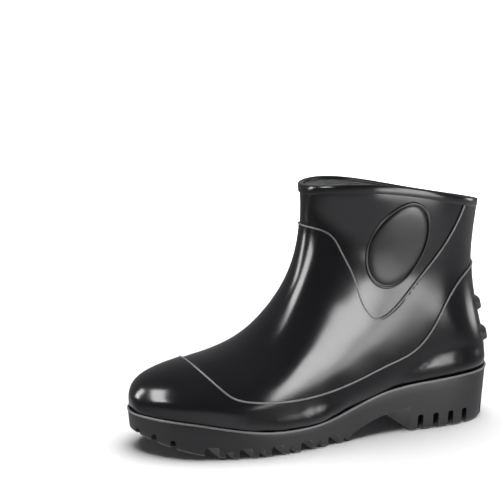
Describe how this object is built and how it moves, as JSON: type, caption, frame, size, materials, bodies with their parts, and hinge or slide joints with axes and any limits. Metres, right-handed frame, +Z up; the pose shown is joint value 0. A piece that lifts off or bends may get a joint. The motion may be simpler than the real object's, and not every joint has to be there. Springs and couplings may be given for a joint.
{
  "type": "rain boot",
  "caption": "Low pull-on rubber rain boot with a sloped V-shaped collar line, oval side badge left blank, raised galosh foxing, heel kick spurs, lugged outsole and heel",
  "frame": {"origin": "On the ground at the middle of the boot's bounding box, so the ball and heel of the tread stand on z = 0", "axes": "+Z up, toe towards -Y, heel towards +Y, outer (badge) side of this left boot at +X"},
  "size_m": [0.106, 0.3002, 0.1998],
  "materials": {
    "upper_rubber": "gloss lacquer",
    "sole_rubber": "satin",
    "badge_rubber": "gloss",
    "core_rubber": "matt",
    "board": "matt",
    "footbed_fabric": "felted",
    "lining_fabric": "knitted"
  },
  "bodies": {
    "root": {"outsole": "sole_rubber", "heel_core": "core_rubber", "sole_filler": "core_rubber", "insole_board": "board", "footbed": "footbed_fabric", "lining_sock": "lining_fabric", "toe_stiffener": "core_rubber", "heel_stiffener": "core_rubber", "upper_shell": "upper_rubber", "leg_panel": "upper_rubber", "galosh": "upper_rubber", "collar_piping": "upper_rubber", "galosh_piping": "upper_rubber", "welt_strip": "upper_rubber", "top_binding": "upper_rubber", "badge_rim": "badge_rubber", "badge_plate": "badge_rubber", "kick_spur_upper": "upper_rubber", "kick_spur_lower": "upper_rubber"}
  },
  "joints": []
}
